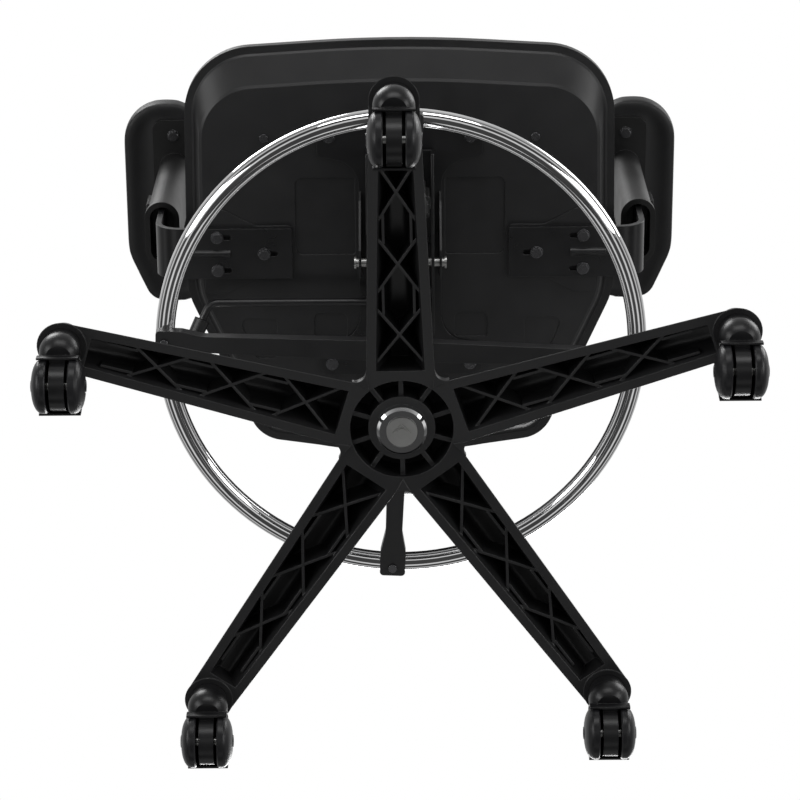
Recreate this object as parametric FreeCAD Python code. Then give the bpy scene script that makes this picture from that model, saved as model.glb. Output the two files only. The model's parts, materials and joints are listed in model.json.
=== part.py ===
import FreeCAD, Part
import math
import os

# Height-adjustable drafting chair. Millimetres, +Z up. The origin is on the floor, under the
# column's axis. The sitter faces -Y, so +X is the sitter's left-hand side.

# ---- fits and gaps
SLIDE_FIT = 0.05        # radial gap of a shaft or tube that slides or turns in its bore
FREE_GAP = 1.0          # gap between bodies that move past each other without touching
SKIN_GAP = 0.4          # gap between a soft or snapped-in piece and its moving neighbour

# ---- casters
WHEEL_D = 50.0
WHEEL_WIDTH = 16.0
WHEEL_INNER_X = 10.0    # inner face of each wheel, from the caster's middle plane
CASTER_TRAIL = 24.0     # stem axis to axle
CASTER_BODY_WIDTH = 14.0
HOOD_WIDTH = 38.0
HOOD_WALL = 2.0
NECK_R = 17.5
NECK_RISE = 13.0        # top of the neck above the top of the wheels
STEM_D = 11.0
STEM_LENGTH = 22.0
AXLE_D = 8.0

# ---- star base
LEG_COUNT = 5
LEG_RADIUS = 325.0      # column axis to a caster's stem
BASE_TURN = -0.9        # degrees that the base has been swivelled from the seat's middle plane
LEG_TIP_WIDTH = 46.0
LEG_ROOT_WIDTH = 68.0
LEG_TIP_HEIGHT = 25.0
LEG_CROWN = 0.46        # width of a leg's rounded top as a share of its width at the rim
LEG_WALL = 6.5          # flat rim that the leg stands on, seen from below
LEG_ROOF = 4.0
LEG_ARCH = 0.8          # below 1, the leg's top is arched; at 1 it is straight
HUB_R = 57.5
HUB_TOP_R = 44.0
CORNER_WEB_R = 10.0     # round web in the corner between two legs
CORNER_WEB_HEIGHT = 8.0
HUB_RING_WALL = 9.0
HUB_BOSS_R = 31.5
HUB_BOTTOM_RISE = 35.0  # hub's lower face above the legs' tips
HUB_HEIGHT = 52.0
HUB_WEB_COUNT = 10
HUB_WEB = 4.5
HUB_POCKET = 30.0
RIB = 2.6
RIB_RECESS = 5.0
RIB_PITCH = 71.0
RIB_FIRST = 94.0
RIB_CROSSES = 3
RIB_HALF_LENGTH = 31.0
SIDE_RIB_LENGTH = 30.0
SIDE_RIB_PLACE = 0.62   # share of the leg's half width

# ---- column (gas lift)
TUBE_D = 50.0
TUBE_WALL = 2.0
TUBE_TAPER = 1.5        # how much the radius narrows from the hub's top to the tube's end
TUBE_TOP = 430.0
TUBE_END_DROP = 12.0    # tube end below the hub's lower face
BUSH_LENGTH = 90.0
CYLINDER_D = 28.0
CYLINDER_TOP = 503.0
LIFT_STROKE = 215.0
ROD_D = 10.0
ROD_TAIL = 5.0          # rod showing below the column's end
BEARING_D = 26.0
BEARING_HEIGHT = 7.0
END_WALL = 5.0          # bottom wall of the column tube
END_RECESS = 1.5
END_WASHER_D = 29.0
END_BEVEL = 2.5
CLIP_SIDE = 12.0
CLIP_THICK = 1.8
PISTON_LENGTH = 14.0
CYLINDER_CAP = 12.0     # solid length at the cylinder's top
CYLINDER_WALL = 2.0
VALVE_D = 7.0
VALVE_RISE = 4.0

# ---- foot ring
RING_D = 495.0          # outside diameter
RING_TUBE_D = 19.0
RING_TUBE_WALL = 1.5
RING_HEIGHT = 324.0     # centre of the ring's tube above the floor
RING_TURN = 2.5         # degrees that the ring has been turned on the column
RING_HUB_WALL = 7.0
RING_HUB_UP = 58.0
RING_KNOB_UP = 34.0     # the knob's axis above the spokes' underside
RING_KNOB_LENGTH = 20.0
RING_BOSS_R = 11.0
RING_BOSS_LENGTH = 8.0
RING_STUD_R = 3.0
SPOKE_COUNT = 4
SPOKE_WIDTH = 17.0
SPOKE_THICK = 9.0
PADDLE_WIDTH = 26.0
PADDLE_LENGTH = 34.0
RING_KNOB_D = 38.0

# ---- tilt mechanism
PLATE_UNDER = 537.0     # underside of the seat plate above the floor
PLATE_THICK = 3.0
PLATE_MARGIN = 13.0     # from a bolt's centre to the plate's edge
PLATE_WING = 22.0       # from a bolt's centre to where the wing narrows
PLATE_CURVE_R = 30.0
BOLT_HALF_X = 75.0
BOLT_FRONT_Y = -158.0
BOLT_REAR_Y = 98.0
PLATE_WAIST = 44.0      # half width of the plate's middle, where its flanges turn down
FLANGE_THICK = 2.5
PIVOT_Y = -30.0
PIVOT_Z = 500.0
PIN_D = 10.0
TILT_DEGREES = 12.0
HOUSING_HALF = 36.0
HOUSING_WALL = 3.0
HOUSING_FRONT_Y = -145.0
HOUSING_REAR_Y = 46.0
HOUSING_BOTTOM = 487.0
SPRING_Y = -110.0
SPRING_WIRE = 5.0
SPRING_COILS = 4.5
SPRING_D = 40.0
KNOB_D = 64.0
KNOB_HEIGHT = 36.0
KNOB_TOP = 473.0
TENSION_BOLT_D = 10.0
LEVER_D = 8.0
LEVER_Y = 18.0
LEVER_REACH = 204.0
LEVER_TURN_X = -28.0    # the lever's trunnion, just inside the housing's wall
TRUNNION_R = 3.0
TRUNNION_LENGTH = 22.0
GRIP_LENGTH = 72.0

# ---- seat
SEAT_WIDTH = 470.0
SEAT_FRONT = -264.0
SEAT_REAR = 226.0
SEAT_CORNER_R = 78.0
SEAT_REAR_HALF = 158.0
PAN_INSET = 3.5         # from the cushion's outline to the pan's edge
PAN_REAR_INSET = 11.0   # more than that at the rear
PAN_THICK = 4.0
PAN_DEPTH = 18.0        # from the flat middle's underside to the rim's underside
PAN_LIP = 10.0
PAN_FLANGE = 8.0        # flat width of the rim's underside
PAN_GROOVE = 2.0
FLOOR_SIDE = 19.0       # from the pan's edge to its flat middle, at the sides
FLOOR_FRONT = 22.0      # more than that at the front
FLOOR_REAR = 6.0        # more than that at the rear
FLOOR_STEP = 6.0
POCKET_DEPTH = 1.6
ARM_PAD_RISE = 2.0      # raised pads that the arm brackets bolt to
CUSHION_THICK = 57.0
BOLT_D = 6.0
PAN_SCREW_X = 144.0
PAN_SCREW_Y = -156.0

# ---- arms
STRAP_WIDTH = 56.0
STRAP_THICK = 6.0
STRAP_MID_Y = -30.0
STRAP_INNER_X = 116.0
ARM_X = 260.0           # middle plane of the uprights
STRAP_BEND_R = 24.0
SLOT_LENGTH = 12.0      # how far each bolt can be moved along the strap
BEAD_R = 4.2            # pressed bead that stiffens the strap
BEAD_SUNK = 1.2
UPRIGHT_TOP = 742.0
ARM_BOLT_X = 196.0
ARM_BOLT_INNER_X = 146.0
ARM_BOLT_HALF_Y = 18.5
SLEEVE_LENGTH_Y = 70.0
SLEEVE_WIDTH_X = 34.0
SLEEVE_BOTTOM = 602.0
SLEEVE_WALL = 4.0
SLEEVE_PLATE = 6.0      # plate on the sleeve's top that the pad is screwed to
PLATE_HALF_X = 24.0
PLATE_HALF_Y = 74.0
PAD_SCREW_Y = 56.0
PAD_UNDER = 806.0
PAD_THICK = 27.0
PAD_LENGTH = 240.0
PAD_WIDTH = 96.0
PAD_MID_X = 270.0
PAD_FORWARD = 28.0      # pad's middle behind the upright's middle
ARM_TRAVEL = 60.0
BUTTON_Z = 690.0
BUTTON_HALF_Y = 13.0
BUTTON_HALF_Z = 17.0
BUTTON_OUT = 5.0
BUTTON_TRAVEL = 3.5

# ---- back
BAR_WIDTH = 70.0
BAR_THICK = 8.0
BAR_BEND_R = 30.0
BAR_BACK_Y = 256.0      # where the upright's line meets the level of the seat plate
BACK_LEAN = 7.0
BAR_TOP = 900.0
BACK_TRAVEL = 55.0
BACK_BOTTOM = 700.0
BACK_HEIGHT = 440.0
BACK_WIDTH = 440.0
BACK_CURVE_R = 520.0
BACK_FRAME_WIDTH = 24.0
BACK_FRAME_THICK = 16.0
MESH_THICK = 1.6
LUMBAR_THICK = 5.0
CARRIER_WALL = 6.0
CARRIER_HEIGHT = 140.0
CARRIER_UP = 10.0       # carrier's lower end above the back frame's lower edge
BACK_KNOB_UP = 36.0
BACK_KNOB_D = 44.0
BACK_STUD_R = 4.0

# ---- worked out from the sizes above
AXLE_Z = WHEEL_D / 2
NECK_TOP = WHEEL_D + NECK_RISE
TIP_Z = NECK_TOP + FREE_GAP
HUB_Z = TIP_Z + HUB_BOTTOM_RISE
HUB_TOP = HUB_Z + HUB_HEIGHT
TUBE_R = TUBE_D / 2
TUBE_END = HUB_Z - TUBE_END_DROP
RING_R = (RING_D - RING_TUBE_D) / 2
RING_UNDER = RING_HEIGHT - RING_TUBE_D / 2
PAN_UNDER = PLATE_UNDER + PLATE_THICK
PAN_EDGE_Z = PAN_UNDER + PAN_DEPTH
STRAP_UNDER = PAN_UNDER - ARM_PAD_RISE - STRAP_THICK
BAR_START_Y = BOLT_REAR_Y + PLATE_MARGIN + FREE_GAP
CUSHION_UNDER = PAN_EDGE_Z + PAN_LIP
BEARING_BASE = TUBE_END + END_WALL
ROD_SHOULDER = BEARING_BASE + BEARING_HEIGHT + SKIN_GAP
CYLINDER_BOTTOM = ROD_SHOULDER + 14
LEVER_Z = CYLINDER_TOP + VALVE_RISE + LEVER_D / 2 + SKIN_GAP
SPIDER_UNDER = RING_UNDER - SPOKE_THICK
RING_KNOB_Z = SPIDER_UNDER + RING_KNOB_UP
FRAME_LOW = BACK_BOTTOM - PAN_UNDER
CARRIER_LOW = FRAME_LOW + CARRIER_UP
CARRIER_HIGH = CARRIER_LOW + CARRIER_HEIGHT
KNOB_UP = CARRIER_LOW + BACK_KNOB_UP
FRAME_SHIFT = -BAR_THICK / 2 - CARRIER_WALL - SLIDE_FIT - BACK_FRAME_THICK
HOUSING_INNER = HOUSING_HALF - HOUSING_WALL
TILT = math.radians(TILT_DEGREES)
LEAN = math.radians(BACK_LEAN)

X = FreeCAD.Vector(1, 0, 0)
Y = FreeCAD.Vector(0, 1, 0)
Z = FreeCAD.Vector(0, 0, 1)
ORIGIN = FreeCAD.Vector(0, 0, 0)
GRIP_WAY = FreeCAD.Vector(-13, 26, -8).normalize()      # the lever's grip, after its bend


# ---- drawing helpers
def vec(x, y, z=0.0):
    return FreeCAD.Vector(x, y, z)


def rod(radius, start, length, axis=Z):
    return Part.makeCylinder(radius, length, vec(*start), axis)


def pipe(outer, inner, start, length, axis=Z):
    return rod(outer, start, length, axis).cut(rod(inner, start, length, axis))


def block(x0, x1, y0, y1, z0, z1):
    return Part.makeBox(x1 - x0, y1 - y0, z1 - z0, vec(x0, y0, z0))


def joined(shapes):
    first = shapes[0]
    whole = first.multiFuse(shapes[1:]) if len(shapes) > 1 else first
    return whole.removeSplitter()


def group(shapes):
    return Part.Compound(shapes)


def turned(shape, degrees, axis=Z, centre=ORIGIN):
    copy = shape.copy()
    copy.rotate(centre, axis, degrees)
    return copy


def moved(shape, x, y, z=0.0):
    copy = shape.copy()
    copy.translate(vec(x, y, z))
    return copy


def mirrored(shape):
    return shape.mirror(ORIGIN, X)


def route(corners, closed):
    """Straight runs joined by tangent arcs. Each corner is (point, radius)."""
    count = len(corners)
    edges = []
    ends = []
    for i, (point, radius) in enumerate(corners):
        if not closed and i in (0, count - 1):
            ends.append((point, point))
            continue
        before = (corners[i - 1][0] - point).normalize()
        after = (corners[(i + 1) % count][0] - point).normalize()
        half = before.getAngle(after) / 2
        reach = radius / math.tan(half)
        middle = (before + after).normalize() * (radius / math.sin(half) - radius)
        start = point + before * reach
        end = point + after * reach
        ends.append((start, end))
        edges.append((i, Part.Arc(start, point + middle, end).toShape()))
    arcs = dict(edges)
    chain = []
    for i in range(count):
        if i in arcs:
            chain.append(arcs[i])
        if i < count - 1 or closed:
            a = ends[i][1]
            b = ends[(i + 1) % count][0]
            if a.distanceToPoint(b) > 1e-6:
                chain.append(Part.makeLine(a, b))
    return Part.Wire(chain)


def outline(points, z=0.0):
    """A closed rounded outline in plan. Each point is (x, y, radius)."""
    return route([(vec(x, y, z), r) for x, y, r in points], True)


def drawn_in(points, inset, least_radius=8.0):
    """The same outline with every side moved inward; corners listed anticlockwise from above."""
    result = []
    count = len(points)
    for i, (x, y, radius) in enumerate(points):
        here = vec(x, y)
        before = vec(*points[i - 1][:2])
        after = vec(*points[(i + 1) % count][:2])
        first = (here - before).normalize()
        second = (after - here).normalize()
        normal = (Z.cross(first) + Z.cross(second)).normalize()
        corner = here + normal * (inset / normal.dot(Z.cross(first)))
        result.append((corner.x, corner.y, max(radius - inset, least_radius)))
    return result


def polygon(points):
    return Part.Face(Part.makePolygon([vec(*p) for p in points + points[:1]]))


def slab(points, z0, z1):
    return Part.Face(outline(points, z0)).extrude(vec(0, 0, z1 - z0))


def side_slab(points, x0, x1):
    """A polygon drawn in (y, z) and drawn out from x0 to x1."""
    return polygon([(x0, y, z) for y, z in points]).extrude(vec(x1 - x0, 0, 0))


def swept(path, radius):
    """A round bar along a wire."""
    start = path.OrderedVertexes[0].Point
    edge = path.OrderedEdges[0]
    along = edge.tangentAt(edge.FirstParameter)
    if (edge.valueAt(edge.FirstParameter) - start).Length > 1e-6:
        along = -edge.tangentAt(edge.LastParameter)
    ring = Part.Wire(Part.Circle(start, along, radius).toShape())
    return path.makePipeShell([ring], True, False)


def bent_strip(corners, thickness, width_vector, start):
    """A flat bar: its centre line in one plane, drawn out by width_vector."""
    path = route(corners, False)
    first = corners[0][0]
    along = (corners[1][0] - first).normalize()
    across = along.cross(width_vector).normalize() * (thickness / 2)
    a = first + across + start
    b = first - across + start
    profile = Part.makePolygon([a, b, b + width_vector, a + width_vector, a])
    spine = path.copy()
    return spine.makePipeShell([profile], True, False)


def spun(points, centre, axis, along):
    """A solid of revolution. Points are (distance along axis, radius)."""
    side = along
    face = Part.Face(Part.makePolygon([centre + axis * a + side * r for a, r in points + points[:1]]))
    return face.revolve(centre, axis, 360)


def hex_bolt(x, y, under, shank, head=5.0):
    """A bolt standing up: its head hangs below `under`, its shank goes up."""
    radius = BOLT_D / 2
    hexagon = Part.makePolygon([vec(x + 1.9 * radius * math.cos(math.radians(60 * k)),
                                    y + 1.9 * radius * math.sin(math.radians(60 * k)),
                                    under - head) for k in range(7)])
    cap = Part.Face(hexagon).extrude(vec(0, 0, head))
    flange = rod(2.3 * radius, (x, y, under - 1.2), 1.2)
    return joined([cap, flange, rod(radius, (x, y, under), shank)])


# ---- casters, drawn about a stem at the origin and trailing to +Y
def caster_place(index):
    angle = math.radians(-90 + BASE_TURN + index * 360 / LEG_COUNT)
    return LEG_RADIUS * math.cos(angle), LEG_RADIUS * math.sin(angle)


def wheel(side):
    radius = WHEEL_D / 2
    inner = WHEEL_INNER_X
    outer = inner + WHEEL_WIDTH
    centre = vec(0, CASTER_TRAIL, AXLE_Z)
    profile = [(inner, AXLE_D / 2 + SLIDE_FIT), (inner, radius - 1.2), (inner + 1.2, radius)]
    crown_start = inner + 0.28 * WHEEL_WIDTH
    crown = outer - 1.5 - crown_start
    for step in range(9):
        turn = math.radians(step * 10)
        profile.append((crown_start + crown * math.sin(turn), radius * math.cos(turn) ** 0.8))
    rim = profile[-1][1]
    profile += [(outer - 1.0, rim * 0.9), (outer - 1.0, AXLE_D / 2 + SLIDE_FIT)]
    solid = spun(profile, centre, X, Z)
    return solid if side > 0 else mirrored(solid)


def caster_hood():
    radius = WHEEL_D / 2
    axle = (0, CASTER_TRAIL, AXLE_Z)
    half = CASTER_BODY_WIDTH / 2
    hood_half = HOOD_WIDTH / 2
    inside = radius + FREE_GAP
    cheek = rod(radius - 3, (-half, axle[1], axle[2]), 2 * half, X)
    fender = pipe(inside + HOOD_WALL, inside, (-hood_half, axle[1], axle[2]), HOOD_WIDTH, X)
    below = block(-50, 50, -50, 100, -20, AXLE_Z - 2)
    fender = fender.cut(below)
    arch = block(-half, half, axle[1] - radius, axle[1] + radius, AXLE_Z, WHEEL_D)
    arch = arch.common(rod(inside + 0.5, (-half, axle[1], axle[2]), 2 * half, X))
    neck = rod(NECK_R, (0, 0, WHEEL_D - 4), NECK_TOP - WHEEL_D + 4)
    dome = Part.makeSphere(NECK_R + 1.5, vec(0, 0, WHEEL_D - 2))
    dome = dome.common(block(-50, 50, -50, 50, AXLE_Z + 8, WHEEL_D))
    body = joined([cheek, fender, arch, neck, dome])
    for side in (-1, 1):
        x0 = half + 0.5 if side > 0 else -half - 0.5 - 40
        body = body.cut(rod(inside, (x0, axle[1], axle[2]), 40, X))
    body = body.cut(rod(AXLE_D / 2, (-40, axle[1], axle[2]), 80, X))
    return body.cut(rod(STEM_D / 2, (0, 0, NECK_TOP - 14), 15))


def caster_pins():
    stem = rod(STEM_D / 2, (0, 0, NECK_TOP - 14), 14 + FREE_GAP + STEM_LENGTH)
    top = FREE_GAP + NECK_TOP + STEM_LENGTH
    stem = stem.cut(pipe(STEM_D, STEM_D / 2 - 0.8, (0, 0, top - 7), 2.5))
    reach = WHEEL_INNER_X + WHEEL_WIDTH - 2.5
    axle = rod(AXLE_D / 2, (-reach, CASTER_TRAIL, AXLE_Z), 2 * reach, X)
    return group([stem, axle])


# ---- star base
def leg_half(x, inset=0.0):
    """Half the leg's width at its rim."""
    share = x / LEG_RADIUS
    return (LEG_ROOT_WIDTH * (1 - share) + LEG_TIP_WIDTH * share) / 2 - inset


def leg_rim(x):
    """Height of the leg's rim, which falls from the hub to the tip."""
    return TIP_Z + HUB_BOTTOM_RISE * (1 - x / LEG_RADIUS)


def leg_section(x, inset, roof, floor):
    """The leg's cross-section at x: wide at the rim, drawn in towards its rounded top."""
    share = x / LEG_RADIUS
    half = leg_half(x, inset)
    crown = leg_half(x) * LEG_CROWN - roof
    low = leg_rim(x) + floor
    tip_top = TIP_Z + LEG_TIP_HEIGHT
    high = tip_top + (HUB_TOP - 4 - tip_top) * (1 - share) ** LEG_ARCH - roof
    corners = [(-half, low, 0.6), (half, low, 0.6), (crown, high, crown * 0.7), (-crown, high, crown * 0.7)]
    return route([(vec(x, y, z), r) for y, z, r in corners], True)


def leg_body(start, end, inset, roof, floor):
    stations = [start + (end - start) * share for share in (0.0, 0.3, 0.65, 1.0)]
    return Part.makeLoft([leg_section(x, inset, roof, floor) for x in stations], True, False)





def leg():
    outer = leg_body(HUB_R / 2, LEG_RADIUS, 0, 0, 0)
    tip_r = LEG_TIP_WIDTH / 2
    tip = Part.makeCone(tip_r, tip_r * 0.62, LEG_TIP_HEIGHT + 1, vec(LEG_RADIUS, 0, TIP_Z))
    tip = tip.makeFillet(5, [e for e in tip.Edges if e.BoundBox.ZMin > TIP_Z + LEG_TIP_HEIGHT])
    cave_end = LEG_RADIUS - tip_r - 1
    cave = leg_body(HUB_R + 1, cave_end, LEG_WALL, LEG_ROOF, -10)
    ribs = []
    for k in range(RIB_CROSSES):
        centre = RIB_FIRST + k * RIB_PITCH
        inner = leg_half(centre, LEG_WALL)
        slant = math.degrees(math.atan2(inner, RIB_HALF_LENGTH))
        length = 2 * math.hypot(inner, RIB_HALF_LENGTH) + 2 * LEG_WALL
        for way in (-1, 1):
            bar = block(-length / 2, length / 2, -RIB / 2, RIB / 2, 0, HUB_TOP)
            ribs.append(moved(turned(bar, way * slant), centre, 0))
            middle = centre + RIB_PITCH / 2
            side = way * leg_half(middle, LEG_WALL) * SIDE_RIB_PLACE
            ribs.append(block(middle - SIDE_RIB_LENGTH / 2, middle + SIDE_RIB_LENGTH / 2,
                              side - RIB / 2, side + RIB / 2, 0, HUB_TOP))
    keep = leg_body(HUB_R + 0.5, cave_end + 0.5, LEG_WALL - 1, LEG_ROOF - 1, RIB_RECESS)
    lattice = joined(ribs).common(keep)
    return joined([outer, tip]).cut(cave).fuse(lattice)


def corner_web():
    """A low web in the corner between the leg along +X and the next one, with a round edge."""
    half_turn = math.pi / LEG_COUNT
    width = leg_half(HUB_R)
    corner = width / math.sin(half_turn)
    middle = (width + CORNER_WEB_R) / math.sin(half_turn)
    along = (width + CORNER_WEB_R) / math.tan(half_turn)
    tangent_x = along * math.cos(half_turn) + width * math.sin(half_turn)
    tangent_y = along * math.sin(half_turn) - width * math.cos(half_turn)
    low = leg_rim(HUB_R)
    corners = [(corner - 4, 0), (tangent_x, -tangent_y), (tangent_x, tangent_y)]
    web = polygon([(x, y, low) for x, y in corners]).extrude(vec(0, 0, CORNER_WEB_HEIGHT))
    web = web.cut(rod(CORNER_WEB_R, (middle, 0, low - 1), CORNER_WEB_HEIGHT + 2))
    return turned(web, math.degrees(half_turn))


def column_cone(extra, z0, z1):
    """The tube's outside where it narrows through the hub, grown by extra."""
    def radius(z):
        return TUBE_R - TUBE_TAPER * (HUB_TOP - z) / (HUB_TOP - TUBE_END) + extra
    return Part.makeCone(radius(z0), radius(z1), z1 - z0, vec(0, 0, z0))


def star_base():
    turn = -90 + BASE_TURN
    spokes = [turned(leg(), turn + k * 360 / LEG_COUNT) for k in range(LEG_COUNT)]
    webs = [turned(corner_web(), turn + k * 360 / LEG_COUNT) for k in range(LEG_COUNT)]
    hub = Part.makeCone(HUB_R, HUB_TOP_R, HUB_HEIGHT - 4, vec(0, 0, HUB_Z))
    collar = Part.makeCone(HUB_TOP_R, HUB_BOSS_R + 2, 4, vec(0, 0, HUB_TOP - 4))
    whole = joined(spokes + webs + [hub, collar])
    ring_inner = HUB_R - HUB_RING_WALL
    whole = whole.cut(rod(ring_inner, (0, 0, HUB_Z - 20), 20 + HUB_POCKET))
    spokes = []
    for k in range(HUB_WEB_COUNT):
        web = block(HUB_BOSS_R - 2, ring_inner + 1, -HUB_WEB / 2, HUB_WEB / 2,
                    HUB_Z + 1.5, HUB_Z + HUB_POCKET)
        spokes.append(turned(web, turn + k * 360 / HUB_WEB_COUNT))
    boss = rod(HUB_BOSS_R, (0, 0, HUB_Z - 2), HUB_POCKET + 2)
    whole = joined([whole, boss] + spokes)
    whole = whole.cut(column_cone(0, TUBE_END, HUB_TOP))
    for k in range(LEG_COUNT):
        x, y = caster_place(k)
        whole = whole.cut(rod(STEM_D / 2 + SLIDE_FIT, (x, y, TIP_Z - 5), 6 + STEM_LENGTH))
    return whole


# ---- column
def column_outer_tube():
    lower = column_cone(0, TUBE_END + END_BEVEL, HUB_TOP)
    end_r = TUBE_R - TUBE_TAPER
    bevel = Part.makeCone(end_r - END_BEVEL, end_r, END_BEVEL, vec(0, 0, TUBE_END))
    upper = rod(TUBE_R, (0, 0, HUB_TOP), TUBE_TOP - HUB_TOP)
    bore = rod(end_r - TUBE_WALL, (0, 0, BEARING_BASE), TUBE_TOP)
    tube = joined([lower, bevel, upper]).cut(bore)
    tube = tube.cut(rod(END_WASHER_D / 2 + FREE_GAP, (0, 0, TUBE_END - 1), 1 + END_RECESS))
    return tube.cut(rod(ROD_D / 2 + 1.5, (0, 0, TUBE_END - 1), END_WALL + 2))


def column_guide_bush():
    outside = TUBE_R - TUBE_TAPER - TUBE_WALL
    bush = pipe(outside, CYLINDER_D / 2 + SLIDE_FIT, (0, 0, TUBE_TOP - BUSH_LENGTH), BUSH_LENGTH)
    collar = pipe(TUBE_R - 1, CYLINDER_D / 2 + SLIDE_FIT, (0, 0, TUBE_TOP), 3)
    return joined([bush, collar])


def thrust_bearing():
    bore = ROD_D / 2 + SKIN_GAP
    washer = 2.0
    cage_height = BEARING_HEIGHT - 2 * washer
    lower = pipe(BEARING_D / 2, bore, (0, 0, BEARING_BASE), washer)
    cage = pipe(BEARING_D / 2 - 1, bore, (0, 0, BEARING_BASE + washer), cage_height)
    upper = pipe(BEARING_D / 2, bore, (0, 0, BEARING_BASE + BEARING_HEIGHT - washer), washer)
    return group([lower, cage, upper])


def clip_low():
    """Underside of the square clip that hangs the rod in the column's end."""
    return TUBE_END + END_RECESS - SKIN_GAP - 2.0 - CLIP_THICK


def piston_rod():
    rod_length = LIFT_STROKE + 30
    low = TUBE_END - ROD_TAIL
    shaft = rod(ROD_D / 2, (0, 0, low), CYLINDER_BOTTOM + rod_length - low)
    shoulder = rod(BEARING_D / 2 - 4, (0, 0, ROD_SHOULDER), 10)
    piston_low = CYLINDER_BOTTOM + rod_length - PISTON_LENGTH
    piston = rod(CYLINDER_D / 2 - CYLINDER_WALL - SLIDE_FIT, (0, 0, piston_low), PISTON_LENGTH)
    shaft = joined([shaft, shoulder, piston])
    groove = pipe(ROD_D, ROD_D / 2 - 1.2, (0, 0, clip_low()), CLIP_THICK)
    return shaft.cut(groove)


def column_clip():
    half = CLIP_SIDE / 2
    clip = block(-half, half, -half, half, clip_low(), clip_low() + CLIP_THICK)
    clip = clip.cut(rod(ROD_D / 2 - 1.2, (0, 0, clip_low() - 1), CLIP_THICK + 2))
    clip = clip.cut(block(-2, 2, 0, half + 1, clip_low() - 1, clip_low() + CLIP_THICK + 1))
    washer = pipe(END_WASHER_D / 2, ROD_D / 2 + SLIDE_FIT, (0, 0, clip_low() + CLIP_THICK), 2.0)
    return group([turned(clip, 45), washer])


def gas_cylinder():
    length = CYLINDER_TOP - CYLINDER_BOTTOM
    cap = CYLINDER_CAP
    body = rod(CYLINDER_D / 2, (0, 0, CYLINDER_BOTTOM), length)
    chamber = rod(CYLINDER_D / 2 - CYLINDER_WALL, (0, 0, CYLINDER_BOTTOM + 8), length - 8 - cap)
    body = body.cut(chamber)
    body = body.cut(rod(ROD_D / 2 + SLIDE_FIT, (0, 0, CYLINDER_BOTTOM - 1), cap))
    well = rod(VALVE_D / 2 + SLIDE_FIT, (0, 0, CYLINDER_TOP - cap + 3), cap)
    return body.cut(well)


def valve_button():
    return rod(VALVE_D / 2, (0, 0, CYLINDER_TOP - 5), 5 + VALVE_RISE)


# ---- foot ring
def ring_tube(extra=0.0):
    """The chromed tube bent into a ring; extra grows or shrinks the radius of its section."""
    return Part.makeTorus(RING_R, RING_TUBE_D / 2 + extra, vec(0, 0, RING_HEIGHT))


def ring_spider():
    bottom = SPIDER_UNDER
    hub_r = TUBE_R + RING_HUB_WALL
    hub = rod(hub_r, (0, 0, bottom - 4), RING_HUB_UP)
    boss = rod(RING_BOSS_R, (0, -hub_r - RING_BOSS_LENGTH, RING_KNOB_Z), RING_BOSS_LENGTH + 6, Y)
    spokes = []
    for k in range(SPOKE_COUNT):
        reach = RING_R + RING_TUBE_D / 2 - 1
        neck = reach - PADDLE_LENGTH
        half = SPOKE_WIDTH / 2
        wide = PADDLE_WIDTH / 2
        plan = [(TUBE_R, -half * 1.25, 1), (neck - 14, -half, 20), (neck + 8, -wide, 12),
                (reach, -wide, 4), (reach, wide, 4), (neck + 8, wide, 12),
                (neck - 14, half, 20), (TUBE_R, half * 1.25, 1)]
        spoke = slab(plan, bottom, RING_UNDER + 3)
        spokes.append(turned(spoke, RING_TURN + k * 360 / SPOKE_COUNT))
    whole = joined([hub, turned(boss, RING_TURN)] + spokes)
    whole = whole.cut(ring_tube())
    whole = whole.cut(rod(TUBE_R + SLIDE_FIT, (0, 0, bottom - 10), RING_HUB_UP + 20))
    stud = rod(RING_STUD_R + SLIDE_FIT, (0, -hub_r - 20, RING_KNOB_Z), 40, Y)
    whole = whole.cut(turned(stud, RING_TURN))
    for k in range(SPOKE_COUNT):
        hole = rod(2, (RING_R, 0, bottom - 1), SPOKE_THICK + 5)
        whole = whole.cut(turned(hole, RING_TURN + k * 360 / SPOKE_COUNT))
    return whole


def ring_screws():
    bottom = SPIDER_UNDER
    screws = []
    for k in range(SPOKE_COUNT):
        head = spun([(0, 0), (0, 3.0), (-1.6, 4.6), (-2.6, 4.2), (-2.6, 0)],
                    vec(RING_R, 0, bottom), Z, X)
        screw = joined([head, rod(2, (RING_R, 0, bottom), SPOKE_THICK - 0.5)])
        screws.append(turned(screw, RING_TURN + k * 360 / SPOKE_COUNT))
    return group(screws)


def ring_knob():
    face = TUBE_R + RING_HUB_WALL + RING_BOSS_LENGTH + FREE_GAP
    core = rod(RING_KNOB_D / 2 - 2.5, (0, -face, RING_KNOB_Z), RING_KNOB_LENGTH, -Y)
    lobes = []
    for k in range(6):
        angle = math.radians(60 * k)
        reach = RING_KNOB_D / 2 - 6
        place = (reach * math.cos(angle), -face, RING_KNOB_Z + reach * math.sin(angle))
        lobes.append(rod(6, place, RING_KNOB_LENGTH, -Y))
    stud = rod(RING_STUD_R, (0, -TUBE_R - 1, RING_KNOB_Z), face - TUBE_R - 1 + 2, -Y)
    return turned(joined([core, stud] + lobes), RING_TURN)


# ---- tilt mechanism
def housing_top(y):
    """Height of the housing's upper edge: it falls behind the pivot to clear the tilted plate."""
    if y < PIVOT_Y:
        return PLATE_UNDER - 5
    return PLATE_UNDER - 5 - (y - PIVOT_Y) * math.tan(TILT) * 1.05


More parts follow.
